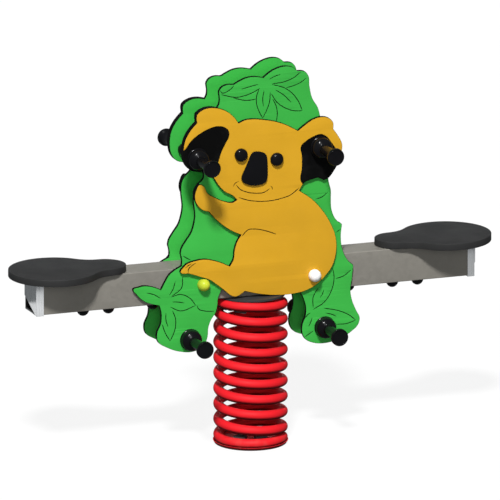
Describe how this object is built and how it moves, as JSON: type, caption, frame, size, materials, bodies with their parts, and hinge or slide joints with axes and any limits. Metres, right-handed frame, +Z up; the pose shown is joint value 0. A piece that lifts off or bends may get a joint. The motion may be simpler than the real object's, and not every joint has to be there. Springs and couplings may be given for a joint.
{
  "type": "spring seesaw",
  "caption": "Playground spring seesaw: a steel beam with a seat at each end rocks on a coil spring, with koala-and-tree side panels that carry hand grips and foot pegs.",
  "frame": {"origin": "on the spring's axis at ground level, at the middle of the ground plate's underside", "axes": "+X along the beam towards the right seat, -Y towards the front panel, +Z up"},
  "size_m": [1.38, 0.3818, 1.06],
  "materials": {
    "spring_red": "glossy red powder coat",
    "plate_grey": "dark grey powder coat",
    "zinc_steel": "zinc-plated steel",
    "galvanised": "dull galvanised steel",
    "bright_cap": "bright brushed sheet steel",
    "seat_grey": "charcoal moulded sheet with a fine non-slip grain",
    "tree_green": "green sheet with a black core",
    "koala_orange": "orange sheet with a black core",
    "black_plastic": "black moulded plastic, satin",
    "white_cap": "white moulded plastic",
    "lime_cap": "yellow-green moulded plastic"
  },
  "bodies": {
    "base": {"ground_plate": "spring_red", "lower_clamp_1": "plate_grey", "lower_clamp_2": "plate_grey", "lower_clamp_bolt_1": "zinc_steel", "lower_clamp_bolt_2": "zinc_steel"},
    "spring": {"coil_spring": "spring_red"},
    "rocker": {"upper_clamp_1": "plate_grey", "upper_clamp_2": "plate_grey", "upper_clamp_bolt_1": "zinc_steel", "upper_clamp_bolt_2": "zinc_steel", "spring_top_plate": "plate_grey", "top_plate_bolt_1": "zinc_steel", "top_plate_bolt_2": "zinc_steel", "top_plate_bolt_3": "zinc_steel", "top_plate_bolt_4": "zinc_steel", "beam": "galvanised", "beam_end_cap_left": "bright_cap", "beam_end_cap_right": "bright_cap", "beam_bolt_left": "zinc_steel", "beam_bolt_right": "zinc_steel", "beam_bolt_cap_front_left": "lime_cap", "beam_bolt_cap_front_right": "white_cap", "beam_bolt_cap_rear_left": "lime_cap", "beam_bolt_cap_rear_right": "white_cap", "seat_left": "seat_grey", "seat_right": "seat_grey", "seat_bolt_left_inner": "black_plastic", "seat_bolt_left_outer": "black_plastic", "seat_bolt_right_inner": "black_plastic", "seat_bolt_right_outer": "black_plastic", "underside_bolt_left": "black_plastic", "underside_bolt_right": "black_plastic", "tree_panel_front": "tree_green", "tree_panel_rear": "tree_green", "koala_panel_front": "koala_orange", "koala_panel_rear": "koala_orange", "nose_front": "black_plastic", "nose_rear": "black_plastic", "eye_cap_front_left": "black_plastic", "eye_cap_front_right": "black_plastic", "eye_cap_rear_left": "black_plastic", "eye_cap_rear_right": "black_plastic", "hand_grip_front_left": "black_plastic", "hand_grip_front_right": "black_plastic", "hand_grip_rear_left": "black_plastic", "hand_grip_rear_right": "black_plastic", "hand_grip_bolt_front_left": "black_plastic", "hand_grip_bolt_front_right": "black_plastic", "hand_grip_bolt_rear_left": "black_plastic", "hand_grip_bolt_rear_right": "black_plastic", "foot_peg_front_left": "black_plastic", "foot_peg_front_right": "black_plastic", "foot_peg_rear_left": "black_plastic", "foot_peg_rear_right": "black_plastic", "foot_peg_bolt_front_left": "black_plastic", "foot_peg_bolt_front_right": "black_plastic", "foot_peg_bolt_rear_left": "black_plastic", "foot_peg_bolt_rear_right": "black_plastic"}
  },
  "joints": [
    {"name": "sway", "type": "hinge", "parent": "base", "child": "spring", "pos_m": [0, 0, 0.165], "axis": [1, 0, 0], "range_deg": [-6, 6], "stiffness_Nm_per_rad": 1100, "deforming": ["coil_spring"]},
    {"name": "rock", "type": "hinge", "parent": "spring", "child": "rocker", "pos_m": [0, 0, 0.255], "axis": [0, 1, 0], "range_deg": [-15, 15], "stiffness_Nm_per_rad": 900, "deforming": ["coil_spring"]}
  ]
}
